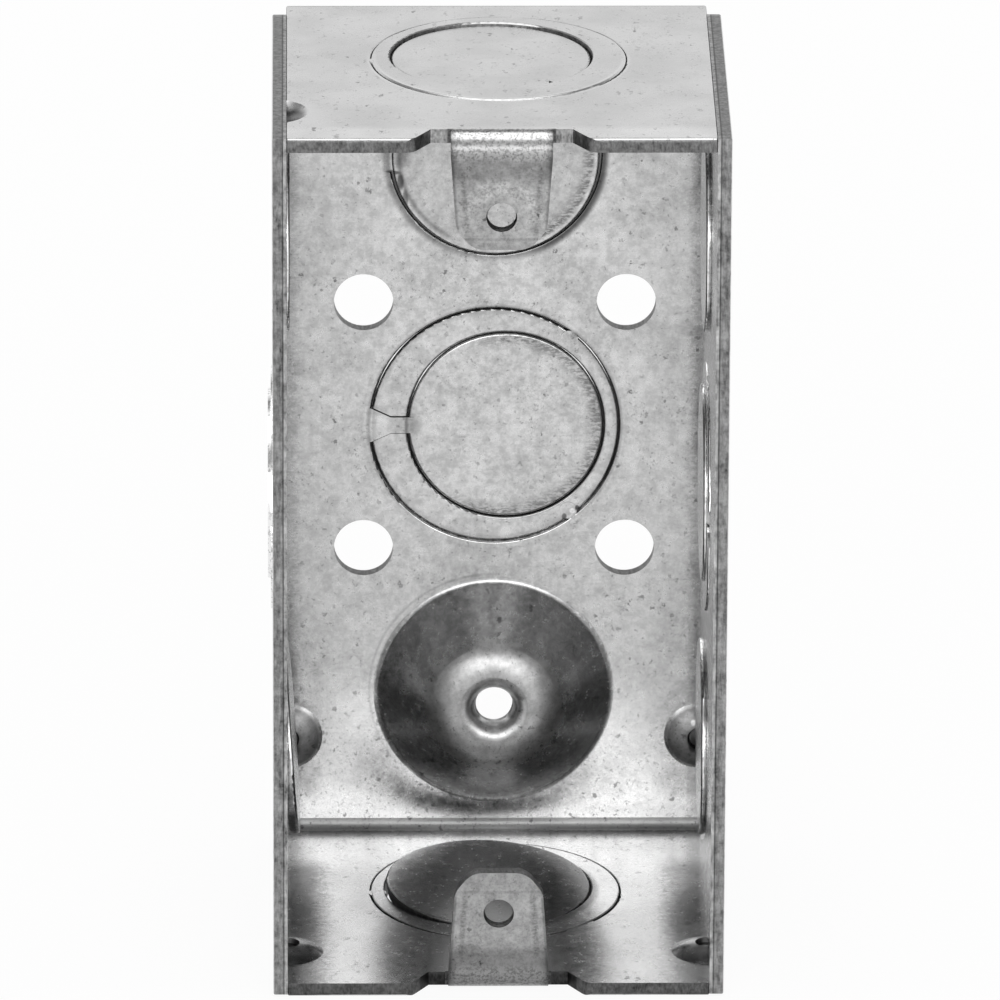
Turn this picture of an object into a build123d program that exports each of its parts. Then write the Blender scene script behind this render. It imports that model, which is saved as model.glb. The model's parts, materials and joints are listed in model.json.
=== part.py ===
from build123d import *
import math
import os

# A pressed steel wiring box: one strip folded into the back panel and both end walls,
# closed by two flat side plates. It stands on its bottom end wall. X runs across the
# box to the right, Y runs from the open front to the back panel, and Z runs up its
# length. The origin is the middle of the bottom end wall's outer face. Sizes are in
# millimetres.

# Overall sizes
BOX_LENGTH = 101.6  # outside of one end wall to the outside of the other
BOX_DEPTH = 47.6  # open front to the outside of the back panel
STRIP_WIDTH = 47.2  # the folded strip, from one side plate to the other
SHEET = 1.59  # thickness of all the sheet

# Bends and sheared edges
BEND_INSIDE = 1.0  # inside radius of the two bends at the back
FRONT_ROLL = 0.4  # rounding that shearing leaves on the outer front edge of an end wall
SEAM_ROLL = 0.2  # rounding of the outer edges that meet at the seams
PLATE_CORNER = 6.2  # round corner at the back of a side plate
PLATE_SHORT = 0.25  # how far a side plate stops above the bottom of the strip

# Cover ears, bent out of the end walls at the open front
EAR_SETBACK = 1.2  # front face of an ear behind the front of the box
EAR_BEND_INSIDE = 0.6
EAR_ROOT_HALF = 5.6  # half width at the bend
EAR_TAPER_START = 2.5  # height above the end wall's outer face where the taper starts
EAR_TAPER = 0.07  # how much half the width loses for each millimetre above that
EAR_CORNER_WIDTH = 1.9  # cropped corners of the tip, across and along the ear
EAR_CORNER_HEIGHT = 2.4
EAR_CORNER_ROUND = 2.6
EAR_HOLE_RADIUS = 1.7
COVER_SCREW_SPACING = 82.6  # hole to hole, along the box
TOP_EAR_PAST_HOLE = 3.8  # centre of the screw hole to the tip
BOTTOM_EAR_PAST_HOLE = 4.9

# Relief notches beside each ear
NOTCH_DEPTH = 3.3
NOTCH_FLOOR_HALF = 7.8  # half width at the bottom of the notch
NOTCH_MOUTH_HALF = 9.8  # half width at the front of the box
NOTCH_ROUND = 1.6

# Pattern on the back panel
PATTERN_RISE = 0.25  # centre of the pattern above the middle of the box
SCREW_HOLE_RADIUS = 3.375
SCREW_HOLE_SPACING = 29.8  # across and along
UPPER_KNOCKOUT_RISE = 32.6  # above the centre of the pattern
DOME_DROP = 32.4  # below the centre of the pattern

# Knockouts: a slit leaves each slug tied to the sheet
LARGE_RADIUS = 14.1
SMALL_RADIUS = 11.15
BOTTOM_SMALL_RADIUS = 11.6
UPPER_RADIUS = 11.85
SHEAR_TAPER = 0.34  # how much wider a sheared wall is on one face of the sheet than on the other
EDGE_ROLL = 0.22  # rounding that shearing leaves round an opening
SLUG_ROLL = 0.3  # rounding that it leaves round a disc
DISC_OFFSET = 1.25  # the small disc sits this far off the centre of the large ring
TAB_ROOT_HALF = 2.05  # the tab that joins the small disc to the sheet, at the sheet
TAB_WAIST_HALF = 0.95  # the same tab where it crosses the ring
TAB_FLARE = 2.3  # radial length over which the tab narrows
TAB_ROUND = 0.6  # rounding where the flare meets the waist
TAB_LAP = 0.7  # how far a tie runs on into what it holds
NIB_RADIUS = 1.0  # round ties between the ring and the sheet
NIB_INSET = 0.7  # centre of a nib inside the large circle
NIB_ANGLE = 51.0  # either side of the direction in which the disc sits off centre
TIE_HALF = 1.9  # half width of the tie of a knockout that has no ring

# Width of the slits
CENTRE_SLIT = 0.12
UPPER_SLIT = 0.3
TOP_SLIT = 0.08
BOTTOM_SLIT = 0.08
SIDE_SLIT = 0.2

# How far each slug was pushed when it was cut, positive into the box
CENTRE_RING_PUSH = -0.15
CENTRE_DISC_PUSH = -0.1
UPPER_DISC_PUSH = 0.5
TOP_RING_PUSH = -0.12
TOP_DISC_PUSH = 0.2
BOTTOM_RING_PUSH = 0.1
BOTTOM_DISC_PUSH = 0.0
BOTTOM_DISC_TILT = 3.5  # degrees, swung into the box about its tab
LEFT_RING_PUSH = -0.22
LEFT_DISC_PUSH = -0.55
LEFT_UPPER_PUSH = 0.35
LEFT_LOWER_TILT = 3.8  # degrees, swung into the box about its tie
RIGHT_RING_PUSH = 0.25
RIGHT_DISC_PUSH = 0.65
RIGHT_SMALL_PUSH = 0.65

# Where the knockouts of the end walls and side plates are
END_KNOCKOUT_DEPTH = 27.1  # behind the open front
END_DISC_DIRECTION = 132.0  # degrees from +X towards the back, seen from above
SIDE_KNOCKOUT_DEPTH = 27.1
SIDE_KNOCKOUT_SPACING = 30.3  # along the box

# Raised dome with the tapped grounding hole
DOME_RADIUS = 13.4
DOME_HEIGHT = 6.1
DOME_TOP_RADIUS = 5.8
DOME_FOOT_ROUND = 1.1
DOME_BROW_ROUND = 5.4
GROUND_HOLE_RADIUS = 2.2
GROUND_COLLAR_WALL = 1.0
GROUND_COLLAR_LENGTH = 2.6  # from the top of the dome back to the collar's end
GROUND_LIP_ROUND = 1.7

# Half domes with a pit, pressed into the box along both edges of the strip, beside the seams
DIMPLE_RADIUS = 4.0
DIMPLE_HEIGHT = 1.2
PIT_RADIUS = 1.35
PIT_FLOOR_RADIUS = 1.1
PIT_DEPTH = 0.5
DIMPLE_FROM_FRONT = 9.3
DIMPLE_FROM_END = 13.0
TOP_DIMPLE_PAST_EDGE = 1.6  # the one dimple of the top end wall is centred this far outside the strip

# Places worked out from the sizes above
FRONT_Y = -BOX_DEPTH / 2
BACK_Y = BOX_DEPTH / 2
MID_Z = BOX_LENGTH / 2
EDGE_X = STRIP_WIDTH / 2
BEND_OUTSIDE = BEND_INSIDE + SHEET
EAR_BEND_OUTSIDE = EAR_BEND_INSIDE + SHEET
EAR_FACE_Y = FRONT_Y + EAR_SETBACK
EAR_HOLE_Z = (BOX_LENGTH - COVER_SCREW_SPACING) / 2
PATTERN_Z = MID_Z + PATTERN_RISE
DOME_Z = PATTERN_Z - DOME_DROP
PAST = 2.0  # how far a cutting shape runs past what it cuts
CONE_PAST = 0.5  # the same for one with a leaning wall


def back_place(x, z):
    """Frame in the middle of the back panel's sheet, with its Z into the box and its Y up."""
    return Plane(origin=(x, BACK_Y - SHEET / 2, z), x_dir=(1, 0, 0), z_dir=(0, -1, 0))


def bottom_place(x, y):
    """Frame in the middle of the bottom end wall's sheet, with its Z into the box."""
    return Plane(origin=(x, y, SHEET / 2), x_dir=(1, 0, 0), z_dir=(0, 0, 1))


def top_place(x, y):
    """Frame in the middle of the top end wall's sheet, with its Z into the box."""
    return Plane(origin=(x, y, BOX_LENGTH - SHEET / 2), x_dir=(1, 0, 0), z_dir=(0, 0, -1))


def side_place(side, y, z):
    """Frame in the middle of a side plate's sheet, side being -1 for the left, with its Y up."""
    middle = side * (EDGE_X + SHEET / 2)
    return Plane(origin=(middle, y, z), x_dir=(0, -side, 0), z_dir=(-side, 0, 0))


def strip_blank():
    """The folded strip before anything is cut or pressed in it."""
    outside = Rectangle(BOX_DEPTH, BOX_LENGTH, align=(Align.CENTER, Align.MIN))
    outside = fillet(outside.vertices().group_by(Axis.X)[-1], BEND_OUTSIDE)
    outside = fillet(outside.vertices().group_by(Axis.X)[0], FRONT_ROLL)
    hollow_depth = BOX_DEPTH - SHEET + PAST
    hollow = Rectangle(hollow_depth, BOX_LENGTH - 2 * SHEET, align=(Align.MAX, Align.MIN))
    hollow = fillet(hollow.vertices().group_by(Axis.X)[-1], BEND_INSIDE)
    profile = outside - Pos(BACK_Y - SHEET, SHEET) * hollow
    blank = extrude(Plane.YZ * profile, STRIP_WIDTH / 2, both=True)
    return fillet(outer_seam_edges(blank), SEAM_ROLL)


def outer_seam_edges(blank):
    """The edges of the blank's two cut sides that lie on its outer surface."""
    near = 0.8 * SHEET
    edges = ShapeList()
    for edge in blank.edges():
        middle = edge @ 0.5
        on_side = abs(abs(middle.X) - EDGE_X) < 1e-6
        on_end = min(middle.Z, BOX_LENGTH - middle.Z) < near
        on_back = BACK_Y - middle.Y < near
        on_front = middle.Y - FRONT_Y < 1e-6
        if on_side and (on_end or on_back) and not on_front:
            edges.append(edge)
    return edges


def notch_cut():
    """What is cleared at the front of both end walls around the ears."""
    floor_y = FRONT_Y + NOTCH_DEPTH
    wing = NOTCH_MOUTH_HALF + NOTCH_DEPTH
    outline = Polygon(
        (-wing, FRONT_Y - PAST),
        (wing, FRONT_Y - PAST),
        (wing, FRONT_Y),
        (NOTCH_MOUTH_HALF, FRONT_Y),
        (NOTCH_FLOOR_HALF, floor_y),
        (-NOTCH_FLOOR_HALF, floor_y),
        (-NOTCH_MOUTH_HALF, FRONT_Y),
        (-wing, FRONT_Y),
        align=None,
    )
    mouths = [v for v in outline.vertices() if abs(abs(v.X) - NOTCH_MOUTH_HALF) < 1e-6]
    outline = fillet(mouths, NOTCH_ROUND)
    return Pos(0, 0, -PAST) * extrude(outline, BOX_LENGTH + 2 * PAST)


def ear(past_hole):
    """The bottom end wall's cover ear, with its bend and its screw hole."""
    length = EAR_HOLE_Z + past_hole
    root_y = EAR_FACE_Y + EAR_BEND_OUTSIDE + SHEET
    section = Polygon(
        (root_y, 0),
        (EAR_FACE_Y, 0),
        (EAR_FACE_Y, length),
        (EAR_FACE_Y + SHEET, length),
        (EAR_FACE_Y + SHEET, SHEET),
        (root_y, SHEET),
        align=None,
    )
    corners = section.vertices()
    section = fillet(corners.sort_by_distance((EAR_FACE_Y, 0))[0], EAR_BEND_OUTSIDE)
    corners = section.vertices()
    section = fillet(corners.sort_by_distance((EAR_FACE_Y + SHEET, SHEET))[0], EAR_BEND_INSIDE)
    bent = extrude(Plane.YZ * section, EAR_ROOT_HALF, both=True)

    shoulder = length - EAR_CORNER_HEIGHT
    shoulder_half = EAR_ROOT_HALF - EAR_TAPER * (shoulder - EAR_TAPER_START)
    tip_half = shoulder_half - EAR_CORNER_WIDTH
    outline = Polygon(
        (-EAR_ROOT_HALF, -PAST),
        (EAR_ROOT_HALF, -PAST),
        (EAR_ROOT_HALF, EAR_TAPER_START),
        (shoulder_half, shoulder),
        (tip_half, length),
        (-tip_half, length),
        (-shoulder_half, shoulder),
        (-EAR_ROOT_HALF, EAR_TAPER_START),
        align=None,
    )
    outline = fillet(outline.vertices().filter_by(lambda v: v.Y > EAR_HOLE_Z), EAR_CORNER_ROUND)
    outline = outline - Pos(0, EAR_HOLE_Z) * Circle(EAR_HOLE_RADIUS)
    blade = extrude(Plane.XZ * outline, BOX_DEPTH, both=True)
    return bent & blade


def shear_cone(radius, low, high, lean):
    """A round solid between two heights, with the leaning wall that the shear left.

    radius is its radius in the middle of the sheet. lean is 1 where the wall widens
    into the box and -1 where it widens outwards.
    """
    slope = lean * SHEAR_TAPER / SHEET
    cone = Cone(radius + slope * low, radius + slope * high, high - low)
    return Pos(0, 0, (low + high) / 2) * cone


def round_cut(radius, push, lean):
    """What is cleared for a slug from sheet that was itself moved by push.

    The edge of the opening is rolled on the side where its wall widens.
    """
    face = push + lean * SHEET / 2
    low = push - SHEET / 2 - CONE_PAST
    high = push + SHEET / 2 + CONE_PAST
    cut = shear_cone(radius, low, high, lean)
    mouth = radius + SHEAR_TAPER / 2 + lean * push * SHEAR_TAPER / SHEET
    cut += Pos(0, 0, face + lean * PAST / 2) * Cylinder(mouth + 2 * EDGE_ROLL, PAST)
    circles = cut.edges().filter_by(GeomType.CIRCLE)
    at_face = circles.filter_by(lambda edge: abs((edge @ 0.5).Z - face) < 1e-6)
    return fillet(at_face.sort_by(SortBy.RADIUS)[0], EDGE_ROLL)


def slug(radius, push, lean, roll):
    """A round slug as thick as the sheet, moved by push, its edge rolled on its wide side."""
    blank = shear_cone(radius, push - SHEET / 2, push + SHEET / 2, lean)
    rims = blank.edges().filter_by(GeomType.CIRCLE).sort_by(Axis.Z)
    return fillet(rims[-1] if lean > 0 else rims[0], roll)


def tab_outline(grow=0.0):
    """The tab that crosses the ring on the side where the ring is widest, grown on each edge."""
    root = LARGE_RADIUS + TAB_LAP
    flare_end = LARGE_RADIUS - TAB_FLARE
    tip = SMALL_RADIUS - DISC_OFFSET - TAB_LAP
    outline = Polygon(
        (-root, TAB_ROOT_HALF + grow),
        (-LARGE_RADIUS, TAB_ROOT_HALF + grow),
        (-flare_end, TAB_WAIST_HALF + grow),
        (-tip, TAB_WAIST_HALF + grow),
        (-tip, -TAB_WAIST_HALF - grow),
        (-flare_end, -TAB_WAIST_HALF - grow),
        (-LARGE_RADIUS, -TAB_ROOT_HALF - grow),
        (-root, -TAB_ROOT_HALF - grow),
        align=None,
    )
    bends = outline.vertices().filter_by(lambda v: -root < v.X < -tip)
    return fillet(bends, TAB_ROUND)


def nib_places():
    """Where the two round ties of a ring are, for a disc that sits towards +X."""
    return PolarLocations(LARGE_RADIUS - NIB_INSET, 2, start_angle=-NIB_ANGLE, angular_range=4 * NIB_ANGLE)


def swing(solid, hinge_x, degrees):
    """Swing a solid into the box about the line across its frame at hinge_x, its +X side rising."""
    return Pos(hinge_x) * Rot(0, -degrees, 0) * Pos(-hinge_x) * solid


def ring_knockout(place, direction, slit, pushes, lean=1, small=SMALL_RADIUS, tilt=0.0, tab_free=True):
    """A large knockout with a small one set off centre in it.

    direction is the angle, in the frame of place, in which the small disc sits off
    centre. The ring and the disc are pushed along the frame's Z, and the disc is then
    swung into the box about its tab by tilt degrees. The tab is cut free from the ring
    only where tab_free says so. Returns the opening in the sheet and the tied ring and
    disc that fill it.
    """
    ring_push, disc_push = pushes
    opening = round_cut(LARGE_RADIUS, 0, lean)
    ring = slug(LARGE_RADIUS - slit, ring_push, lean, EDGE_ROLL)
    ring -= Pos(DISC_OFFSET, 0) * round_cut(small, ring_push, lean)
    if tab_free:
        ring -= extrude(tab_outline(slit), SHEET + PAST, both=True)
    slugs = ring
    for nib in nib_places():
        opening += nib * Cylinder(NIB_RADIUS, SHEET + PAST)
        slugs += nib * Pos(0, 0, ring_push / 2) * Cylinder(NIB_RADIUS, SHEET)
    disc = Pos(DISC_OFFSET, 0) * slug(small - slit, disc_push, lean, SLUG_ROLL)
    slugs += swing(disc, DISC_OFFSET - small, tilt)
    slugs += extrude(tab_outline(), SHEET / 2, both=True)
    turned = place.location * Rot(0, 0, direction)
    return turned * opening, turned * slugs


def plain_knockout(place, radius, direction, slit, push, tilt=0.0):
    """A single knockout held by one tie, which lies in the given direction of its frame.

    The slug is pushed along the frame's Z and then swung into the box about its tie by
    tilt degrees. Returns the opening in the sheet and the tied slug that fills it.
    """
    opening = round_cut(radius, 0, 1)
    disc = swing(slug(radius - slit, push, 1, SLUG_ROLL), -radius, tilt)
    tie = Pos(-radius + slit / 2, 0, push / 2) * Box(2 * TAB_LAP + slit, 2 * TIE_HALF, SHEET)
    turned = place.location * Rot(0, 0, direction + 180)
    return turned * opening, turned * (disc + tie)


def ground_dome():
    """The raised dome of the back panel, with its extruded hole, about the panel's inner face.

    Returns the opening in the sheet and the dome that fills it, with Z into the box.
    """
    collar = GROUND_HOLE_RADIUS + GROUND_COLLAR_WALL
    collar_end = DOME_HEIGHT - GROUND_COLLAR_LENGTH
    under_top = DOME_HEIGHT - SHEET
    slope = math.atan2(DOME_HEIGHT, DOME_RADIUS - DOME_TOP_RADIUS)
    shift = SHEET * math.tan(slope / 2)
    section = Polygon(
        (DOME_RADIUS + DOME_FOOT_ROUND, 0),
        (DOME_RADIUS, 0),
        (DOME_TOP_RADIUS, DOME_HEIGHT),
        (GROUND_HOLE_RADIUS, DOME_HEIGHT),
        (GROUND_HOLE_RADIUS, collar_end),
        (collar, collar_end),
        (collar, under_top),
        (DOME_TOP_RADIUS - shift, under_top),
        (DOME_RADIUS - shift, -SHEET),
        (DOME_RADIUS + DOME_FOOT_ROUND, -SHEET),
        align=None,
    )
    rounds = [
        ((DOME_RADIUS, 0), DOME_FOOT_ROUND),
        ((DOME_TOP_RADIUS, DOME_HEIGHT), DOME_BROW_ROUND),
        ((GROUND_HOLE_RADIUS, DOME_HEIGHT), GROUND_LIP_ROUND),
        ((collar, under_top), GROUND_COLLAR_WALL / 2),
        ((DOME_TOP_RADIUS - shift, under_top), DOME_BROW_ROUND - SHEET),
        ((DOME_RADIUS - shift, -SHEET), DOME_FOOT_ROUND + SHEET),
    ]
    for corner, radius in rounds:
        section = fillet(section.vertices().sort_by_distance(corner)[0], radius)
    dome = revolve(Plane.XZ * section, Axis.Z)
    opening = Pos(0, 0, -SHEET / 2) * Cylinder(DOME_RADIUS + DOME_FOOT_ROUND, SHEET + PAST)
    return opening, dome


def edge_dimple():
    """The round dimple that an edge of the strip cuts through, about the sheet's inner face."""
    crown = (DIMPLE_RADIUS**2 + DIMPLE_HEIGHT**2) / (2 * DIMPLE_HEIGHT)
    brim = math.sqrt(crown**2 - PIT_RADIUS**2) - (crown - DIMPLE_HEIGHT)
    half_way = (DIMPLE_RADIUS + PIT_RADIUS) / 2
    shoulder = (half_way, math.sqrt(crown**2 - half_way**2) - (crown - DIMPLE_HEIGHT))
    over = ThreePointArc((PIT_RADIUS, brim), shoulder, (DIMPLE_RADIUS, 0))
    under = Pos(0, -SHEET) * ThreePointArc((0, DIMPLE_HEIGHT), shoulder, (DIMPLE_RADIUS, 0))
    pit = Polyline((PIT_RADIUS, brim), (PIT_FLOOR_RADIUS, brim - PIT_DEPTH), (0, brim - PIT_DEPTH))
    axis = Line((0, brim - PIT_DEPTH), (0, DIMPLE_HEIGHT - SHEET))
    side = Line((DIMPLE_RADIUS, -SHEET), (DIMPLE_RADIUS, 0))
    section = make_face([over, pit, axis, under, side])
    return revolve(Plane.XZ * section, Axis.Z)


def dimple_places():
    """Frames of all the edge dimples, in the middle of the sheet."""
    front = FRONT_Y + DIMPLE_FROM_FRONT
    places = [top_place(-EDGE_X - TOP_DIMPLE_PAST_EDGE, front)]
    for x in (-EDGE_X, EDGE_X):
        places.append(bottom_place(x, front))
        places.append(back_place(x, DIMPLE_FROM_END))
        places.append(back_place(x, BOX_LENGTH - DIMPLE_FROM_END))
    return places


def folded_strip():
    """Back panel, end walls, ears, knockouts and dome: one piece of sheet."""
    strip = strip_blank() - notch_cut()
    strip += ear(BOTTOM_EAR_PAST_HOLE)
    strip += mirror(ear(TOP_EAR_PAST_HOLE), about=Plane.XY.offset(MID_Z))

    for x in (-SCREW_HOLE_SPACING / 2, SCREW_HOLE_SPACING / 2):
        for z in (PATTERN_Z - SCREW_HOLE_SPACING / 2, PATTERN_Z + SCREW_HOLE_SPACING / 2):
            strip -= back_place(x, z).location * Cylinder(SCREW_HOLE_RADIUS, SHEET + PAST)

    top = top_place(0, FRONT_Y + END_KNOCKOUT_DEPTH)
    bottom = bottom_place(0, FRONT_Y + END_KNOCKOUT_DEPTH)
    centre = back_place(0, PATTERN_Z)
    upper = back_place(0, PATTERN_Z + UPPER_KNOCKOUT_RISE)
    away = END_DISC_DIRECTION
    knockouts = [
        ring_knockout(centre, 0, CENTRE_SLIT, (CENTRE_RING_PUSH, CENTRE_DISC_PUSH)),
        plain_knockout(upper, UPPER_RADIUS, 180, UPPER_SLIT, UPPER_DISC_PUSH),
        ring_knockout(top, -away, TOP_SLIT, (TOP_RING_PUSH, TOP_DISC_PUSH), lean=-1, tab_free=False),
        ring_knockout(
            bottom,
            away,
            BOTTOM_SLIT,
            (BOTTOM_RING_PUSH, BOTTOM_DISC_PUSH),
            small=BOTTOM_SMALL_RADIUS,
            tilt=BOTTOM_DISC_TILT,
            tab_free=False,
        ),
    ]
    for opening, slugs in knockouts:
        strip = strip - opening + slugs

    inner_face = back_place(0, DOME_Z).offset(SHEET / 2).location
    opening, dome = ground_dome()
    strip = strip - inner_face * opening + inner_face * dome

    between_seams = Box(STRIP_WIDTH, 2 * BOX_DEPTH, 3 * BOX_LENGTH)
    for place in dimple_places():
        strip -= place.location * Cylinder(DIMPLE_RADIUS, SHEET + PAST)
        strip += place.offset(SHEET / 2).location * edge_dimple() & between_seams
    return strip


def side_plate(side):
    """A flat side plate with its three knockouts, side being -1 for the left one."""
    height = BOX_LENGTH - PLATE_SHORT
    outline = Rectangle(BOX_DEPTH, height, align=(Align.CENTER, Align.MIN))
    outline = fillet(outline.vertices().group_by(Axis.X)[-1], PLATE_CORNER)
    plate = Pos(side * EDGE_X) * extrude(Plane.YZ * Pos(0, PLATE_SHORT) * outline, side * SHEET)
    outer_face = plate.faces().sort_by(Axis.X)[0 if side < 0 else -1]
    plate = fillet(outer_face.edges(), SEAM_ROLL)

    y = FRONT_Y + SIDE_KNOCKOUT_DEPTH
    middle = side_place(side, y, MID_Z)
    upper = side_place(side, y, MID_Z + SIDE_KNOCKOUT_SPACING)
    lower = side_place(side, y, MID_Z - SIDE_KNOCKOUT_SPACING)
    if side < 0:
        knockouts = [
            ring_knockout(middle, 0, SIDE_SLIT, (LEFT_RING_PUSH, LEFT_DISC_PUSH)),
            plain_knockout(upper, SMALL_RADIUS, 90, SIDE_SLIT, LEFT_UPPER_PUSH),
            plain_knockout(lower, SMALL_RADIUS, 90, SIDE_SLIT, 0.0, LEFT_LOWER_TILT),
        ]
    else:
        knockouts = [
            ring_knockout(middle, 180, SIDE_SLIT, (RIGHT_RING_PUSH, RIGHT_DISC_PUSH)),
            plain_knockout(upper, SMALL_RADIUS, 90, SIDE_SLIT, RIGHT_SMALL_PUSH),
            plain_knockout(lower, SMALL_RADIUS, -90, SIDE_SLIT, RIGHT_SMALL_PUSH),
        ]
    for opening, slugs in knockouts:
        plate = plate - opening + slugs
    return plate


def main():
    """Write one file for each piece of the box."""
    os.makedirs("parts", exist_ok=True)
    pieces = {
        "folded_strip": folded_strip(),
        "left_side_plate": side_plate(-1),
        "right_side_plate": side_plate(1),
    }
    for name, piece in pieces.items():
        export_step(piece, f"parts/{name}.step")
        print(name, "solids", len(piece.solids()), "volume", round(piece.volume, 1), "valid", piece.is_valid)


main()
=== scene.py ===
"""Dresses a pressed steel wiring box in worn galvanised sheet and sets it in a plain pale studio."""
import json
import logging
import math
from dataclasses import dataclass
from enum import Enum
from functools import reduce
from typing import Union

import bpy
from mathutils import Matrix, Vector


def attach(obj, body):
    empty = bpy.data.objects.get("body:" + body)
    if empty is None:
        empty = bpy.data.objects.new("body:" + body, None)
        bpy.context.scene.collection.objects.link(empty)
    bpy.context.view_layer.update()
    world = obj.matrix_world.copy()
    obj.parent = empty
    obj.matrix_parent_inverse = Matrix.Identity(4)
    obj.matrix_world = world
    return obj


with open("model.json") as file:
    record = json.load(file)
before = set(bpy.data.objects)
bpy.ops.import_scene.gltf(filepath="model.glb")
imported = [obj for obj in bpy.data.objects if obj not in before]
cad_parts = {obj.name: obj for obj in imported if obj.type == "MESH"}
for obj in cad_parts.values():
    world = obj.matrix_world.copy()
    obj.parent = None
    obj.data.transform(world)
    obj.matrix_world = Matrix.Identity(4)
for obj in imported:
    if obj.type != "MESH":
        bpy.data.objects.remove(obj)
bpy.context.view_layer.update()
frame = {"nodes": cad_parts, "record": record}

log = logging.getLogger("wiring_box")

MM = 0.001
Socket = bpy.types.NodeSocket
Value = Union[float, tuple, Socket]


def mount(name: str) -> dict:
    """One mount of the record, by its name."""
    return next(entry for entry in frame["record"]["mounts"] if entry["name"] == name)


def mount_place(name: str) -> tuple:
    """Where a mount of the record lies, in millimetres."""
    return tuple(part / MM for part in mount(name)["pos_m"])


LENGTH = 2 * mount_place("cover_screws")[2]
DEPTH = 2 * mount_place("back_face")[1]
MIDDLE_UP = mount_place("wall_screws")[2]
DOME_UP = mount_place("ground_screw")[2]
EAR_HOLE_IN = (LENGTH - mount("cover_screws")["dims"]["spacing_y_mm"]) / 2


class Piece(Enum):
    """The pieces of the box, by the names of their nodes."""

    STRIP = "folded_strip"
    LEFT_PLATE = "left_side_plate"
    RIGHT_PLATE = "right_side_plate"


class Slot(Enum):
    """The record's material slots."""

    STRIP = "strip_steel"
    PLATE = "plate_steel"


class Graph:
    """Adds nodes to a shader tree and wires them."""

    def __init__(self, tree: bpy.types.NodeTree) -> None:
        """Empty the tree, ready for new nodes.

        Args:
            tree: The node tree of a material or of the world.
        """
        self.tree = tree
        tree.nodes.clear()

    def add(self, kind: str, inputs: dict, **settings: object) -> bpy.types.Node:
        """Add one node.

        Args:
            kind: Name of the node type, without its ShaderNode prefix.
            inputs: Values or sockets for its inputs, by name or number.
            settings: Properties of the node itself.

        Returns:
            The new node.
        """
        node = self.tree.nodes.new("ShaderNode" + kind)
        for name, setting in settings.items():
            setattr(node, name, setting)
        for key, value in inputs.items():
            if isinstance(value, Socket):
                self.tree.links.new(value, node.inputs[key])
            else:
                node.inputs[key].default_value = value
        return node

    def math(self, operation: str, *values: Value) -> Socket:
        """Work out one number from others.

        Args:
            operation: Name of the operation, such as MULTIPLY.
            values: The numbers or sockets that it takes.

        Returns:
            The socket of the result.
        """
        return self.add("Math", dict(enumerate(values)), operation=operation).outputs[0]

    def product(self, *values: Value) -> Value:
        """Multiply numbers together."""
        return reduce(lambda first, second: self.math("MULTIPLY", first, second), values)

    def gap(self, value: Value, other: Value) -> Socket:
        """How far apart two numbers are."""
        return self.math("ABSOLUTE", self.math("SUBTRACT", value, other))

    def sway(self, base: Value, noise: Socket, swing: Value) -> Socket:
        """Move a number with a noise around one half, the swing being how far it goes from end to end."""
        return self.math("MULTIPLY_ADD", self.math("SUBTRACT", noise, 0.5), swing, base)

    def distance(self, first: Socket, second: Socket) -> Socket:
        """Length of the hypotenuse over two offsets."""
        joined = self.add("CombineXYZ", {0: first, 1: second}).outputs[0]
        return self.add("VectorMath", {0: joined}, operation="LENGTH").outputs["Value"]

    def split(self, vector: Socket) -> list[Socket]:
        """The three parts of a vector."""
        return list(self.add("SeparateXYZ", {0: vector}).outputs)

    def grey(self, level: Socket) -> Socket:
        """A colour without hue, from its level."""
        return self.add("CombineColor", {0: level, 1: level, 2: level}).outputs[0]

    def span(
        self, value: Value, low: float, high: float, to_low: float = 0.0, to_high: float = 1.0
    ) -> Socket:
        """Map a number from one range to another, smoothly and without going past its ends.

        Args:
            value: The number to map.
            low: Where the first range starts.
            high: Where it ends.
            to_low: Result at low.
            to_high: Result at high.

        Returns:
            The socket of the result.
        """
        inputs = {"Value": value, "From Min": low, "From Max": high, "To Min": to_low, "To Max": to_high}
        return self.add("MapRange", inputs, interpolation_type="SMOOTHSTEP").outputs[0]

    def stretch(self, vector: Socket, scale: tuple) -> Socket:
        """Scale a vector by a number for each axis."""
        return self.add("VectorMath", {0: vector, 1: scale}, operation="MULTIPLY").outputs[0]

    def offset(self, vector: Socket, centre: tuple, half: tuple = (1.0, 1.0)) -> tuple[Socket, Socket]:
        """How far a point lies across and up from a centre.

        Args:
            vector: Position of the point.
            centre: Where the centre is, across and up.
            half: What counts as one unit, across and up.

        Returns:
            The offset as a vector and its length.
        """
        scale = (1 / half[0], 0.0, 1 / half[1])
        shift = (-centre[0] / half[0], 0.0, -centre[1] / half[1])
        terms = {0: vector, 1: scale, 2: shift}
        offset = self.add("VectorMath", terms, operation="MULTIPLY_ADD").outputs[0]
        return offset, self.add("VectorMath", {0: offset}, operation="LENGTH").outputs["Value"]

    def noise(self, vector: Socket, scale: float, detail: float, roughness: float) -> Socket:
        """Cloudy noise around one half.

        Args:
            vector: Where it is read.
            scale: Clouds for each unit of the vector.
            detail: How many finer layers it has.
            roughness: How strong the finer layers are.

        Returns:
            The socket of the noise.
        """
        inputs = {"Vector": vector, "Scale": scale, "Detail": detail, "Roughness": roughness}
        return self.add("TexNoise", inputs).outputs["Fac"]

    def mix(self, factor: Value, first: Value, second: Value) -> Socket:
        """Blend two numbers, the second showing where the factor is 1."""
        return self.add("Mix", {0: factor, 2: first, 3: second}, data_type="FLOAT").outputs[0]


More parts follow.
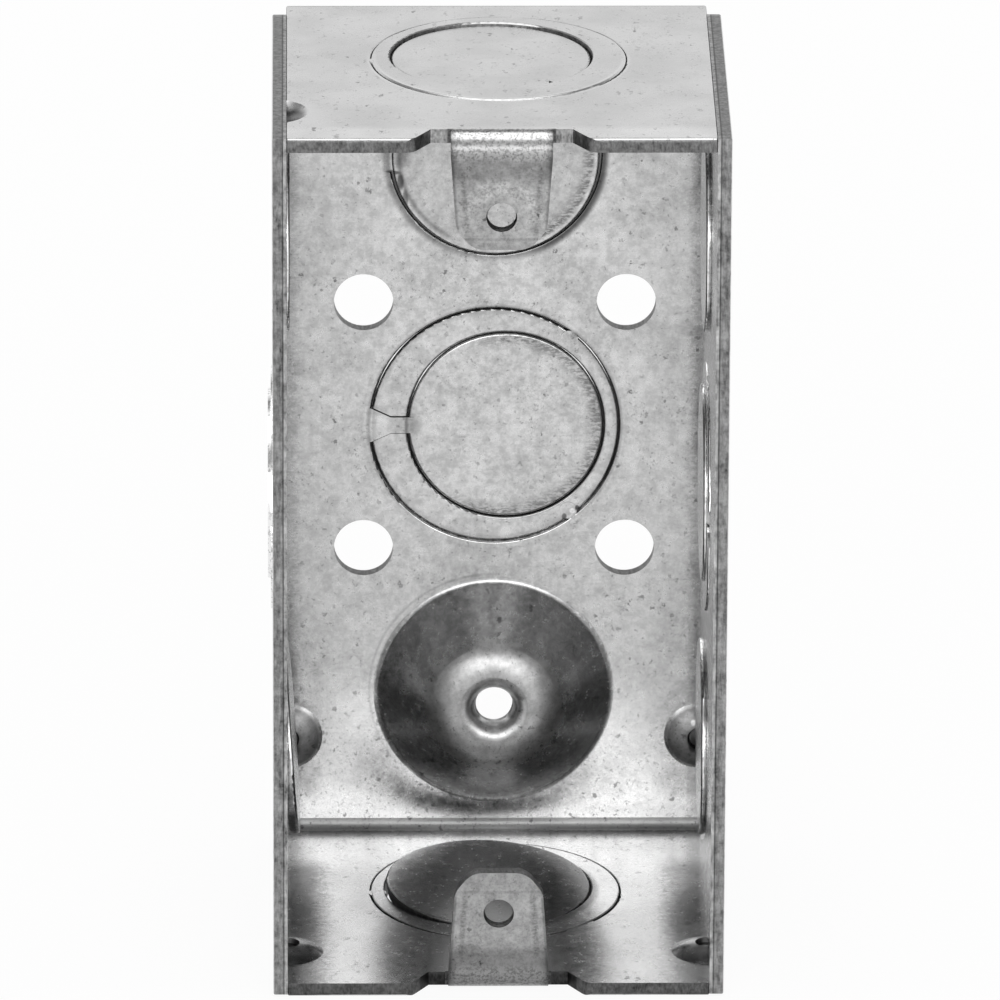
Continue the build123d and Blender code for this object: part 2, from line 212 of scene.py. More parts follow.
class Along(Enum):
    """The measures that a mark can fade along: lengths in millimetres, turns from 0 to 1, and noises."""

    ACROSS = "to the right of the middle"
    DEEP = "toward the back"
    UP = "above the bottom"
    FROM_END = "from the nearer end of the box"
    FLOOR_MARGIN = "from the strip's side edges, very ragged"
    PANEL_MARGIN = "from the strip's side edges, a little ragged"
    DOME = "from the middle of the grounding dome"
    DOME_UP = "above the middle of the grounding dome"
    DIMPLE = "from the middle of the nearer dimple of the panel"
    KNOCKOUT = "from the middle of an end wall's knockout, across and deep"
    KNOCKOUT_DEEP = "behind the middle of an end wall's knockout"
    HOOK = "from the dent at the left edge of the top end wall"
    EAR_HOLE = "from the middle of an ear's hole"
    EAR_SIDE = "in from the side edges of an ear"
    SIDE_LINE = "from the line scored along the sides of an ear"
    TIP_LINE = "from the line scored across the tip of an ear"
    TURN_ACROSS = "how far the surface faces to one side"
    TURN_DEEP = "how far it faces to the front or the back"
    TURN_UP = "how far it faces up or down"
    STREAKS = "streaky noise"
    FLECKS = "flecks, which are 1 inside and 0 outside"


class Zone(Enum):
    """The parts of the strip that a mark can be kept to."""

    ALL = "all of it"
    PANEL = "the back panel"
    EAR = "both ears"
    FLECKS = "the flecks on both ears"


Measures = dict[Along, Socket]


@dataclass(frozen=True)
class Fade:
    """A smooth change along one measure, from low at the start to high at the end."""

    along: Along
    start: float
    end: float
    low: float = 0.0
    high: float = 1.0

    def build(self, graph: Graph, measures: Measures) -> Socket:
        """Build it from the measures that there are."""
        return graph.span(measures[self.along], self.start, self.end, self.low, self.high)


@dataclass(frozen=True)
class Mark:
    """A darker part of the strip, where all its fades meet, most of them painted shade. A depth below zero
    makes it lighter.
    """

    zone: Zone
    depth: float
    fades: tuple[Fade, ...]

    def share(self, graph: Graph, measures: Measures, zones: dict[Zone, Value]) -> Socket:
        """Build the share of its tone that the sheet keeps.

        Args:
            graph: Where the nodes go.
            measures: What its fades run along.
            zones: Sockets that are 1 in each zone.

        Returns:
            A socket that is 1 outside the mark.
        """
        reach = graph.product(zones[self.zone], *(fade.build(graph, measures) for fade in self.fades))
        return graph.math("MULTIPLY_ADD", reach, -self.depth, 1.0)


@dataclass(frozen=True)
class Band:
    """A ring of painted shade on the back panel, round a centre given across and up the box, in millimetres.

    The inner and outer edges are where it ends and the strongest part is at the radius. Its depth is how
    much it takes off the sheet's tone. Where it points toward a direction, it fades with the cosine of the
    angle to it, from nothing at fade_from to all of it at fade_to. A streaked band shows where the streaky
    noise is high, and a part of it shows everywhere.
    """

    centre: tuple
    inner: float
    radius: float
    outer: float
    depth: float
    toward: tuple = (0.0, 0.0)
    fade_from: float = -0.5
    fade_to: float = 0.3
    streaked: bool = False
    streak_low: float = 0.40
    streak_high: float = 0.58
    streak_rest: float = 0.25

    def mask(self, graph: Graph, offset: Socket, distance: Socket, streaks: Socket) -> Socket:
        """Build its mask.

        Args:
            graph: Where the nodes go.
            offset: Offset from its centre.
            distance: Length of that offset.
            streaks: Noise that breaks up a streaked band.

        Returns:
            A socket that is 1 where the band is strongest and 0 outside it.
        """
        parts = [graph.span(distance, self.inner, self.radius), graph.span(distance, self.outer, self.radius)]
        if self.toward != (0.0, 0.0):
            toward = (self.toward[0], 0.0, self.toward[1])
            along = graph.add("VectorMath", {0: offset, 1: toward}, operation="DOT_PRODUCT").outputs["Value"]
            cosine = graph.math("DIVIDE", along, distance)
            parts.append(graph.span(cosine, self.fade_from, self.fade_to))
        if self.streaked:
            parts.append(graph.span(streaks, self.streak_low, self.streak_high, self.streak_rest, 1.0))
        return graph.product(*parts)


@dataclass(frozen=True)
class Spot:
    """An oval of painted shade on the back panel, its centre and half size given across and up the box, in
    millimetres.

    A depth below zero makes it lighter, as a painted highlight. The core is the share of its area that is
    evenly deep.
    """

    centre: tuple
    half: tuple
    depth: float
    core: float = 0.3

    def share(self, graph: Graph, place: Socket) -> Socket:
        """Build the share of its tone that the sheet keeps.

        Args:
            graph: Where the nodes go.
            place: Position in millimetres.

        Returns:
            A socket that is 1 outside the spot.
        """
        distance = graph.offset(place, self.centre, self.half)[1]
        return graph.span(distance, 1.0, math.sqrt(self.core), 1.0, 1.0 - self.depth)


UPPER_KNOCKOUT = (0.0, 83.65)
MIDDLE_KNOCKOUT = (0.0, MIDDLE_UP)
MIDDLE_SLUG = (1.25, MIDDLE_UP)
DOME = (0.0, DOME_UP)

# Painted highlight along the lower side of the middle knockout's torn cut.
LOWER_ARC_HIGHLIGHT = Band(MIDDLE_KNOCKOUT, 13.7, 14.2, 15.0, 3.6, (0.0, -1.0), 0.35, 0.75)
# Painted shade over the rolled and torn edges of the knockouts' slugs and openings, beside the upper
# knockout's torn tie, and on the dome's rim.
PANEL_SHADE_BANDS = (
    Band(MIDDLE_SLUG, 8.9, 10.7, 11.25, 0.62, (1.0, -0.15), -0.75, 0.0, True),
    Band(MIDDLE_SLUG, 10.9, 11.3, 11.6, 0.50),
    Band(MIDDLE_KNOCKOUT, 13.2, 13.85, 14.05, 0.22),
    Band(MIDDLE_KNOCKOUT, 13.95, 14.35, 14.8, 0.38, (0.0, 1.0), -0.86, -0.6),
    Band(MIDDLE_KNOCKOUT, 14.6, 15.05, 15.4, 0.08),
    Band(UPPER_KNOCKOUT, 11.7, 12.45, 13.1, 0.50, (0.0, 1.0), -1.15, -0.8),
    Band(UPPER_KNOCKOUT, 11.7, 12.1, 12.6, 0.40),
    Band(UPPER_KNOCKOUT, 11.7, 12.25, 13.0, 0.60, (1.0, 0.0), 0.1, 0.6),
    Band(UPPER_KNOCKOUT, 9.3, 10.9, 11.4, 0.66, (0.9, -0.3), 0.0, 0.6, True),
    Band(UPPER_KNOCKOUT, 10.4, 10.9, 11.5, 0.50, (-0.86, -0.5), 0.75, 0.9),
    Band(DOME, 12.8, 13.4, 14.0, 0.30, (0.0, 1.0), -0.2, 0.6),
    Band(DOME, 13.95, 14.25, 14.5, 0.20, (-0.8, 0.5), 0.2, 0.7),
)
PANEL_LIGHT_AND_SHADE_SPOTS = (
    # The upper knockout's slug under painted shade, and painted highlight and painted shade on the torn tie
    # at its left.
    Spot(UPPER_KNOCKOUT, (11.4, 11.2), 0.14, 0.75),
    Spot((-12.3, 83.3), (0.7, 1.3), -0.20, 0.0),
    Spot((-10.6, 83.9), (1.5, 2.6), 0.60, 0.0),
    Spot((-11.6, 81.7), (1.1, 0.32), 0.70, 0.2),
    Spot((-10.75, 80.6), (0.50, 1.3), 0.70, 0.2),
    Spot((-10.2, 78.4), (0.45, 1.6), 0.60, 0.2),
    # Painted shade and painted highlights on the middle knockout's tie, its bent nibs and a nick in its cut.
    Spot((-9.3, 51.0), (1.5, 2.3), 0.42, 0.0),
    Spot((-11.2, 51.1), (0.7, 0.9), -0.16, 0.0),
    Spot((-12.8, 51.3), (1.2, 1.5), -0.14, 0.0),
    Spot((8.9, 40.6), (0.40, 0.40), -0.60),
    Spot((9.45, 40.95), (0.30, 0.40), 0.75),
    Spot((8.0, 39.9), (0.35, 0.50), 0.65),
    Spot((9.0, 61.9), (0.55, 0.45), 0.30),
    # Shaded sheet at the lower left of the dome.
    Spot((-14.0, 9.0), (7.5, 6.5), 0.36, 0.0),
    Spot((-9.5, 18.5), (4.0, 7.0), 0.14, 0.0),
    # Painted highlights on the crest of the right dimple, and painted shade in the pits of both dimples.
    Spot((22.95, 14.9), (0.35, 0.45), -1.10),
    Spot((23.75, 14.9), (0.30, 0.45), -1.10),
    Spot((22.9, 12.2), (0.60, 1.20), 0.60),
    Spot((-22.9, 11.6), (0.90, 1.00), 0.50),
)

ON_LOWER_EAR = Fade(Along.UP, 40.0, 20.0)
ON_UPPER_EAR = Fade(Along.UP, 60.0, 70.0)
# Where the painted shade on the inside of the bottom end wall lies: near its floor, along its margins and on
# its pushed slug.
ON_FLOOR = (Fade(Along.UP, 3.2, 2.6), Fade(Along.DEEP, 14.0, 9.0))
FLOOR_MARGIN = (Fade(Along.FLOOR_MARGIN, 8.4, 4.6), Fade(Along.ACROSS, -5.0, 5.0, 0.70, 0.54))
FLOOR_SLUG = (
    Fade(Along.KNOCKOUT, 12.2, 11.2),
    Fade(Along.UP, 4.2, 3.4),
    Fade(Along.ACROSS, 1.0, 8.0, 0.10, 0.58),
)
# Where painted shade falls on the grounding dome's lower flank, with a faint painted highlight across its
# middle.
PAINTED_DOME_SHADING = (
    Fade(Along.DOME, 13.2, 12.0),
    Fade(Along.DOME, 4.0, 8.0),
    Fade(Along.DOME_UP, 9.0, 3.0),
    Fade(Along.DOME_UP, -3.0, -9.0, -0.10, 0.42),
)
# Painted shade in the line scored along each side of an ear.
EAR_SIDE_LINE = (
    Fade(Along.SIDE_LINE, 0.50, 0.05),
    Fade(Along.STREAKS, 0.42, 0.60, 0.35, 1.0),
    Fade(Along.FROM_END, 3.0, 5.0),
    Fade(Along.FROM_END, 13.2, 11.0),
)
EAR_HALO = (
    Fade(Along.EAR_HOLE, 2.0, 3.0),
    Fade(Along.EAR_HOLE, 5.0, 3.8),
    Fade(Along.FROM_END, 11.0, 8.0),
    Fade(Along.FLECKS, 0.6, 0.2),
    ON_UPPER_EAR,
)
STRIP_SHADE_AND_MARKS = (
    # Painted shade on the grounding dome's lower flank, and a faint painted highlight across its middle.
    Mark(Zone.PANEL, 1.0, PAINTED_DOME_SHADING),
    # Painted shade on the dimples of the panel and in the pits in them, and along the panel's side edges,
    # where it meets the plates.
    Mark(Zone.PANEL, 0.50, (Fade(Along.DIMPLE, 3.9, 3.4),)),
    Mark(Zone.PANEL, 0.45, (Fade(Along.DIMPLE, 1.75, 1.25),)),
    Mark(Zone.PANEL, 0.30, (Fade(Along.PANEL_MARGIN, 3.4, 1.6),)),
    # Painted shade on the inside of the bottom end wall: along its margins, toward its front and on its
    # pushed slug.
    Mark(Zone.ALL, 1.0, ON_FLOOR + FLOOR_MARGIN),
    Mark(Zone.ALL, 0.16, ON_FLOOR + (Fade(Along.DEEP, 6.0, -6.0),)),
    Mark(Zone.ALL, 1.0, FLOOR_SLUG),
    # Painted shade over the outside of the top end wall with a painted highlight along its front edge, and
    # the dent at its left edge darker.
    Mark(Zone.ALL, 1.0, (Fade(Along.UP, 99.5, 100.0), Fade(Along.DEEP, -21.0, -19.0, -0.06, 0.085))),
    Mark(Zone.ALL, 0.80, (Fade(Along.HOOK, 2.6, 1.6), Fade(Along.UP, 97.5, 97.7))),
    # The ears, from their bends to their tips: painted shade below the bends, over the lower ear and its
    # root, along the side edges and in the scored lines, a darker tip, darker flecks and a lighter ring round
    # the upper ear's hole.
    Mark(Zone.EAR, 0.32, (Fade(Along.FROM_END, 2.4, 3.4), Fade(Along.FROM_END, 6.2, 4.6))),
    Mark(Zone.EAR, 0.07, (ON_LOWER_EAR,)),
    Mark(Zone.EAR, 0.12, (ON_LOWER_EAR, Fade(Along.FROM_END, 7.0, 4.5))),
    Mark(Zone.EAR, 0.42, EAR_SIDE_LINE),
    Mark(Zone.EAR, 0.38, (Fade(Along.EAR_SIDE, 1.1, 0.2), Fade(Along.FROM_END, 6.0, 3.5))),
    Mark(Zone.EAR, 0.40, (Fade(Along.EAR_SIDE, 0.40, 0.12), Fade(Along.FROM_END, 13.0, 11.0))),
    Mark(Zone.EAR, 0.10, (Fade(Along.FROM_END, 12.2, 12.7),)),
    Mark(Zone.EAR, 0.22, (Fade(Along.TIP_LINE, 0.30, 0.05),)),
    Mark(Zone.FLECKS, 1.0, (Fade(Along.FROM_END, 2.4, 3.4, 0.46, 0.16),)),
    Mark(Zone.EAR, -0.20, EAR_HALO),
)


@dataclass(frozen=True)
class Clouds:
    """Cloudy noise: clouds in a millimetre, finer layers and their strength, and where it starts and ends."""

    scale: float
    detail: float
    roughness: float
    low: float = 0.0
    high: float = 1.0

    def raw(self, graph: Graph, place: Socket) -> Socket:
        """Build it as it is, around one half."""
        return graph.noise(place, self.scale, self.detail, self.roughness)

    def build(self, graph: Graph, place: Socket) -> Socket:
        """Build it stretched, so that it is 0 at its low and 1 at its high."""
        return graph.span(self.raw(graph, place), self.low, self.high)


@dataclass(frozen=True)
class SheetFinish:
    """Zinc coated sheet: mottled, pitted and smeared on its faces, torn and dark where it was cut.

    Sizes are in millimetres. Depths are how much a mark takes off the tone, shares how much it leaves, and
    swings how far a value goes with a noise, from end to end.
    """

    name: str
    tone: float = 0.65
    roughness: float = 0.24
    roughness_swing: float = 0.08
    clouds: Clouds = Clouds(1 / 7.5, 2.0, 0.5, 0.30, 0.70)
    cloud_swing: float = 0.14
    mottle: Clouds = Clouds(1 / 1.2, 4.0, 0.74, 0.30, 0.70)
    mottle_swing: float = 0.40
    clusters: Clouds = Clouds(1 / 2.64, 3.0, 0.6, 0.46, 0.66)
    grit: Clouds = Clouds(1 / 0.46, 3.0, 0.62)
    grit_floor: float = 0.60
    worn_grit_floor: float = 0.58
    lone_grit_floor: float = 0.64
    grit_edge: float = 0.07
    grit_depth: float = 0.36
    ridge: Clouds = Clouds(1 / 1.5, 3.0, 0.7)
    hair_edge: float = 0.016
    hair_core: float = 0.002
    hair_depth: float = 0.22
    smears: Clouds = Clouds(0.9, 4.0, 0.7, 0.56, 0.72)
    smear_squeeze: tuple = (0.35, 0.9, 1.6)
    smear_depth: float = 0.14
    speck_size: float = 1.25
    speck_warp: float = 1.2
    speck_chance: float = 0.25
    speck_largest: float = 0.28
    speck_edge: float = 0.08
    speck_depth: float = 0.62
    lone_speck_share: float = 0.45
    middle_up: float = 51.5
    wall_start: float = 47.0
    wall_full: float = 48.5
    wall_mottle_swing: float = 0.12
    cut_streaks: Clouds = Clouds(2.4, 4.0, 0.65)
    cut_streak_swing: float = 2.4
    cut_blots: Clouds = Clouds(1.2, 4.0, 0.7)
    cut_blot_swing: float = 2.2
    cut_darkest: float = 0.02
    cut_roughness: float = 0.46
    cut_roughness_swing: float = 0.3
    strip_cut_tone: float = 0.17
    strip_cut_squeeze: tuple = (1.6, 0.35, 0.7)
    plate_cut_tone: float = 0.25
    plate_cut_squeeze: tuple = (0.9, 1.2, 0.16)
    plate_inside_shade_share: float = 0.72
    plate_wear: float = 0.2
    ear_tone_share: float = 0.67
    ear_roughness: float = 0.42
    bend_shade_share: float = 0.60
    bend_roughness: float = 0.45
    drawn_tone_share: float = 0.80
    drawn_roughness: float = 0.38

    def specks(self, graph: Graph, place: Socket, warp: Socket) -> Socket:
        """Scattered ragged specks, each cell of a grid holding one or none.

        Args:
            graph: Where the nodes go.
            place: Position in millimetres.
            warp: Three noises that make their outlines ragged.

        Returns:
            A socket that is 1 inside the specks and 0 outside.
        """
        bend = {0: warp, 1: (self.speck_warp,) * 3, 2: place}
        bent = graph.add("VectorMath", bend, operation="MULTIPLY_ADD").outputs[0]
        grid = {"Vector": bent, "Scale": 1 / self.speck_size, "Randomness": 1.0}
        cells = graph.add("TexVoronoi", grid, feature="F1").outputs
        chance = graph.add("SeparateColor", {0: cells["Color"]}).outputs[0]
        reach = graph.span(chance, self.speck_chance, 1.0, 0.0, self.speck_largest)
        return graph.span(graph.math("SUBTRACT", reach, cells["Distance"]), 0.0, self.speck_edge)

    def face_marks(self, graph: Graph, place: Socket, wear: Value) -> dict[str, Socket]:
        """Marks on the flat faces of the sheet, plainer and without smears on the end walls.

        Args:
            graph: Where the nodes go.
            place: Position in millimetres.
            wear: How thickly the sheet is pitted, from 0 to 1.

        Returns:
            Sockets named tone and roughness.
        """
        clouds = self.clouds.build(graph, place)
        mottle = self.mottle.build(graph, place)
        clusters = graph.math("MAXIMUM", self.clusters.build(graph, place), wear)
        grit = self.grit.raw(graph, place)
        ridge = self.ridge.raw(graph, place)
        warp = graph.add("CombineXYZ", {0: ridge, 1: mottle, 2: grit}).outputs[0]
        share = graph.mix(clusters, self.lone_speck_share, 1.0)
        specks = graph.product(self.specks(graph, place, warp), share)
        floor = graph.mix(wear, self.grit_floor, self.worn_grit_floor)
        floor = graph.mix(clusters, self.lone_grit_floor, floor)
        grit = graph.span(graph.math("SUBTRACT", grit, floor), 0.0, self.grit_edge)
        hairs = graph.product(graph.span(graph.gap(ridge, 0.5), self.hair_edge, self.hair_core), clusters)

        from_middle = graph.gap(graph.split(place)[2], self.middle_up)
        smears = self.smears.build(graph, graph.stretch(place, self.smear_squeeze))
        smears = graph.product(smears, graph.span(from_middle, self.wall_full, self.wall_start))
        swings = self.mottle_swing, self.wall_mottle_swing
        swing = graph.span(from_middle, self.wall_start, self.wall_full, *swings)

        tone = graph.sway(1.0, clouds, self.cloud_swing)
        tone = graph.product(graph.sway(tone, mottle, swing), self.tone)
        layers = (
            (grit, self.grit_depth),
            (hairs, self.hair_depth),
            (smears, self.smear_depth),
            (specks, self.speck_depth),
        )
        for marks, depth in layers:
            tone = graph.product(tone, graph.math("MULTIPLY_ADD", marks, -depth, 1.0))
        return {"tone": tone, "roughness": graph.sway(self.roughness, mottle, self.roughness_swing)}

    def cut_marks(self, graph: Graph, place: Socket, squeeze: tuple, level: Value) -> dict[str, Socket]:
        """Marks on a cut or torn edge.

        Args:
            graph: Where the nodes go.
            place: Position in millimetres.
            squeeze: How much the streaks are squeezed along each axis; small numbers make long streaks.
            level: Tone that the marks lie round.

        Returns:
            Sockets named tone and roughness.
        """
        streaks = self.cut_streaks.raw(graph, graph.stretch(place, squeeze))
        blots = self.cut_blots.raw(graph, place)
        spread = graph.sway(graph.sway(1.0, blots, self.cut_blot_swing), streaks, self.cut_streak_swing)
        tone = graph.math("MAXIMUM", graph.product(spread, level), self.cut_darkest)
        return {"tone": tone, "roughness": graph.sway(self.cut_roughness, blots, self.cut_roughness_swing)}

    def strip_marks(self, graph: Graph, place: Socket, facing: Socket) -> dict[str, Socket]:
        """Marks of the folded strip, dulled at its ears, rougher at its bends and darker there as painted
        shade, with painted shade and highlights in its bands, spots and marks.

        Args:
            graph: Where the nodes go.
            place: Position in millimetres.
            facing: Direction that the surface faces.

        Returns:
            Sockets named tone and roughness.
        """
        regions = StripRegions(graph, place, facing)
        faces = self.face_marks(graph, place, regions.worn())
        for region, share, roughness in (
            (regions.ear(), self.ear_tone_share, self.ear_roughness),
            (regions.bend(), self.bend_shade_share, self.bend_roughness),
            (regions.drawn(), self.drawn_tone_share, self.drawn_roughness),
        ):
            faces["tone"] = graph.mix(region, faces["tone"], graph.product(faces["tone"], share))
            faces["roughness"] = graph.mix(region, faces["roughness"], roughness)
        faces["tone"] = graph.product(faces["tone"], regions.shade())
        level = graph.product(regions.cut_share(), self.strip_cut_tone)
        cuts = self.cut_marks(graph, place, self.strip_cut_squeeze, level)
        cut = regions.cut()
        return {name: graph.mix(cut, faces[name], cuts[name]) for name in faces}

    def plate_marks(self, graph: Graph, place: Socket, facing: Socket) -> dict[str, Socket]:
        """Marks of a side plate, streaked along its cut edges, with painted shade on its inside faces and
        painted highlights on its rolls and slug walls.

        Args:
            graph: Where the nodes go.
            place: Position in millimetres.
            facing: Direction that the surface faces.

        Returns:
            Sockets named tone and roughness.
        """
        faces = self.face_marks(graph, place, self.plate_wear)
        regions = PlateRegions(graph, place, facing)
        # Painted shade on the faces toward the inside of the box.
        inside_share = graph.mix(regions.inward(), 1.0, self.plate_inside_shade_share)
        faces["tone"] = graph.product(faces["tone"], inside_share)
        level = graph.product(regions.cut_share(), self.plate_cut_tone)
        cuts = self.cut_marks(graph, place, self.plate_cut_squeeze, level)
        cuts["roughness"] = graph.mix(regions.within, cuts["roughness"], self.roughness)
        cut = regions.cut()
        return {name: graph.mix(cut, faces[name], cuts[name]) for name in faces}

    def build(self, piece: Piece) -> bpy.types.Material:
        """Make the material for one piece.

        Args:
            piece: The piece that it goes on, whose cut edges it finds.

        Returns:
            The material.
        """
        material = bpy.data.materials.new(f"{self.name}_{piece.value}")
        material.use_nodes = True
        graph = Graph(material.node_tree)
        coordinates = graph.add("TexCoord", {}).outputs
        place = graph.stretch(coordinates["Object"], (1 / MM, 1 / MM, 1 / MM))
        marks = self.strip_marks if piece is Piece.STRIP else self.plate_marks
        blended = marks(graph, place, coordinates["Normal"])
        colour = graph.grey(blended["tone"])
        metal = {"Base Color": colour, "Metallic": 1.0, "Roughness": blended["roughness"]}
        shader = graph.add("BsdfPrincipled", metal)
        graph.add("OutputMaterial", {"Surface": shader.outputs[0]})
        return material


@dataclass
class StripRegions:
    """Finds the parts of the strip from where a point is and which way it faces.

    Sizes are in millimetres. A reach is how far a part goes from the end or the back of the box.
    """

    graph: Graph
    place: Socket
    facing: Socket
    wall_reach: float = 2.85
    bend_reach: float = 2.6
    bend_fade: float = 0.6
    panel_front: float = 15.0
    panel_start: Fade = Fade(Along.FROM_END, 2.2, 2.8)
    edge: float = 23.6
    knockout_deep: float = 3.3
    dimple_up: float = 13.0
    hook_in: float = 9.3
    ear_half: float = 5.95
    ear_back: float = -20.3
    ear_flat: Fade = Fade(Along.TURN_UP, 0.80, 0.55)
    ear_side_half: float = 5.775
    ear_taper: float = 0.07
    side_line_in: float = 1.2
    tip_line_in: float = 12.1
    streaks: Clouds = Clouds(1.9, 4.0, 0.7)
    streak_squeeze: tuple = (0.8, 1.0, 2.2)
    floor_ragged: float = 5.0
    panel_ragged: float = 3.0
    flecks: Clouds = Clouds(3.2, 3.0, 0.7, 0.46, 0.60)
    side_cut: Fade = Fade(Along.TURN_ACROSS, 0.62, 0.80)
    wall_cut: Fade = Fade(Along.TURN_UP, 0.62, 0.40)
    upright_cut: Fade = Fade(Along.TURN_DEEP, 0.50, 0.30)
    notch_front: Fade = Fade(Along.DEEP, -22.4, -21.9)
    notch_back: Fade = Fade(Along.DEEP, -19.4, -19.9)
    lower_wall: Fade = Fade(Along.UP, 4.0, 1.0)
    # Shares of a cut's tone: above one is painted highlight, below one painted shade.
    lower_cut_share: float = 0.62
    upper_notch_share: float = 1.9
    lower_notch_share: float = 0.35
    panel_cut_share: float = 0.95
    crown: Fade = Fade(Along.DOME, 9.0, 6.0)
    dimple: Fade = Fade(Along.DIMPLE, 3.9, 3.4)
    low_panel: Fade = Fade(Along.UP, 24.0, 9.0)
    low_panel_wear: float = 0.9
    rim_inner: Fade = Fade(Along.KNOCKOUT, 13.5, 13.8)
    rim_outer: Fade = Fade(Along.KNOCKOUT, 14.8, 14.5)
    rim_front: Fade = Fade(Along.KNOCKOUT_DEEP, 4.0, -2.0)
    rim_reach: float = 2.2
    rim_highlight_gain: float = 0.15

    def __post_init__(self) -> None:
        """Take the measures and find the zones."""
        graph = self.graph
        self.across, self.deep, self.up = graph.split(self.place)
        from_end = graph.math("MINIMUM", self.up, graph.math("SUBTRACT", LENGTH, self.up))
        self.streak_noise = self.streaks.raw(graph, graph.stretch(self.place, self.streak_squeeze))
        self.measures = self.measure(from_end)
        self.near_end = graph.math("LESS_THAN", from_end, self.wall_reach)
        self.at_back = graph.math("GREATER_THAN", self.deep, DEPTH / 2 - self.bend_reach)
        past_ear = graph.math("GREATER_THAN", graph.math("ABSOLUTE", self.across), self.ear_half)
        behind_ear = graph.math("GREATER_THAN", self.deep, self.ear_back)
        self.clear_of_ear = graph.math("MAXIMUM", past_ear, behind_ear)
        self.ear_blade = graph.math("SUBTRACT", 1.0, self.clear_of_ear)
        self.on_back = graph.math("GREATER_THAN", self.deep, self.panel_front)
        self.on_panel = graph.product(self.on_back, self.meet(self.panel_start))
        wall = graph.product(self.near_end, graph.math("SUBTRACT", 1.0, self.at_back))
        self.flat_wall = graph.product(wall, self.clear_of_ear)
        self.zones = {
            Zone.ALL: 1.0,
            Zone.PANEL: self.on_panel,
            Zone.EAR: self.ear_blade,
            Zone.FLECKS: graph.product(self.measures[Along.FLECKS], self.ear_blade),
        }
        # A painted highlight along the ring cut in the top end wall, kept out of the dark cut edges.
        rim = self.meet(self.rim_inner, self.rim_outer, self.rim_front)
        self.top_rim_highlight = graph.product(rim, graph.math("GREATER_THAN", self.up, LENGTH - self.rim_reach))

    def measure(self, from_end: Socket) -> Measures:
        """Take every measure that the marks fade along.

        Args:
            from_end: Distance from the nearer end of the box.

        Returns:
            A socket for each of them.
        """
        graph = self.graph
        beside = graph.math("SUBTRACT", self.edge, graph.math("ABSOLUTE", self.across))
        climb = graph.math("SUBTRACT", self.up, DOME_UP)
        behind_knockout = graph.math("SUBTRACT", self.deep, self.knockout_deep)
        behind_hook = graph.math("SUBTRACT", self.deep, self.hook_in - DEPTH / 2)
        ear_side = graph.math("MULTIPLY_ADD", from_end, -self.ear_taper, self.ear_side_half)
        ear_side = graph.math("SUBTRACT", ear_side, graph.math("ABSOLUTE", self.across))
        turned = [graph.math("ABSOLUTE", part) for part in graph.split(self.facing)]
        return {
            Along.ACROSS: self.across,
            Along.DEEP: self.deep,
            Along.UP: self.up,
            Along.FROM_END: from_end,
            Along.FLOOR_MARGIN: graph.math("MULTIPLY_ADD", self.streak_noise, self.floor_ragged, beside),
            Along.PANEL_MARGIN: graph.math("MULTIPLY_ADD", self.streak_noise, self.panel_ragged, beside),
            Along.DOME: graph.distance(self.across, climb),
            Along.DOME_UP: climb,
            Along.DIMPLE: graph.distance(beside, graph.math("SUBTRACT", self.up, self.dimple_up)),
            Along.KNOCKOUT: graph.distance(self.across, behind_knockout),
            Along.KNOCKOUT_DEEP: behind_knockout,
            Along.HOOK: graph.distance(graph.math("ADD", self.across, self.edge), behind_hook),
            Along.EAR_HOLE: graph.distance(self.across, graph.math("SUBTRACT", from_end, EAR_HOLE_IN)),
            Along.EAR_SIDE: ear_side,
            Along.SIDE_LINE: graph.gap(ear_side, self.side_line_in),
            Along.TIP_LINE: graph.gap(from_end, self.tip_line_in),
            Along.TURN_ACROSS: turned[0],
            Along.TURN_DEEP: turned[1],
            Along.TURN_UP: turned[2],
            Along.STREAKS: self.streak_noise,
            Along.FLECKS: self.flecks.build(graph, self.place),
        }

    def meet(self, *fades: Fade) -> Socket:
        """Where all of some fades meet."""
        return self.graph.product(*(fade.build(self.graph, self.measures) for fade in fades))

    def cut(self) -> Socket:
        """Cut edges: all that faces across, and what is square to the walls, the panel and the ears, less the
        top rim, whose painted highlight shows instead.
        """
        graph = self.graph
        walls = graph.product(self.flat_wall, self.meet(self.wall_cut))
        upright = graph.math("MAXIMUM", self.at_back, self.ear_blade)
        upright = graph.product(graph.math("SUBTRACT", 1.0, self.near_end), upright)
        upright = graph.product(upright, self.meet(self.upright_cut))
        cut = graph.math("MAXIMUM", self.meet(self.side_cut), graph.math("MAXIMUM", walls, upright))
        return graph.product(cut, graph.math("SUBTRACT", 1.0, self.top_rim_highlight))

    def cut_share(self) -> Socket:
        """How much of its tone a cut keeps: more in the upper notch and along the arc as painted highlight,
        less lower down as painted shade.
        """
        graph = self.graph
        lower = self.meet(self.lower_wall)
        notch = graph.product(self.meet(self.notch_front, self.notch_back), self.flat_wall)
        notch_share = graph.mix(lower, self.upper_notch_share, self.lower_notch_share)
        arc = LOWER_ARC_HIGHLIGHT.mask(graph, *graph.offset(self.place, LOWER_ARC_HIGHLIGHT.centre), self.streak_noise)
        arc = graph.product(arc, self.on_panel)
        return graph.product(
            graph.mix(notch, 1.0, notch_share),
            graph.mix(lower, 1.0, self.lower_cut_share),
            graph.mix(self.on_panel, 1.0, self.panel_cut_share),
            graph.math("MULTIPLY_ADD", arc, LOWER_ARC_HIGHLIGHT.depth, 1.0),
        )

    def ear(self) -> Socket:
        """The flat faces of the ears."""
        return self.graph.product(self.ear_blade, self.meet(self.ear_flat))

    def bend(self) -> Socket:
        """The bends between the panel and the end walls, which are rougher and get painted shade."""
        start = DEPTH / 2 - self.bend_reach
        return self.graph.product(self.near_end, self.graph.span(self.deep, start, start + self.bend_fade))

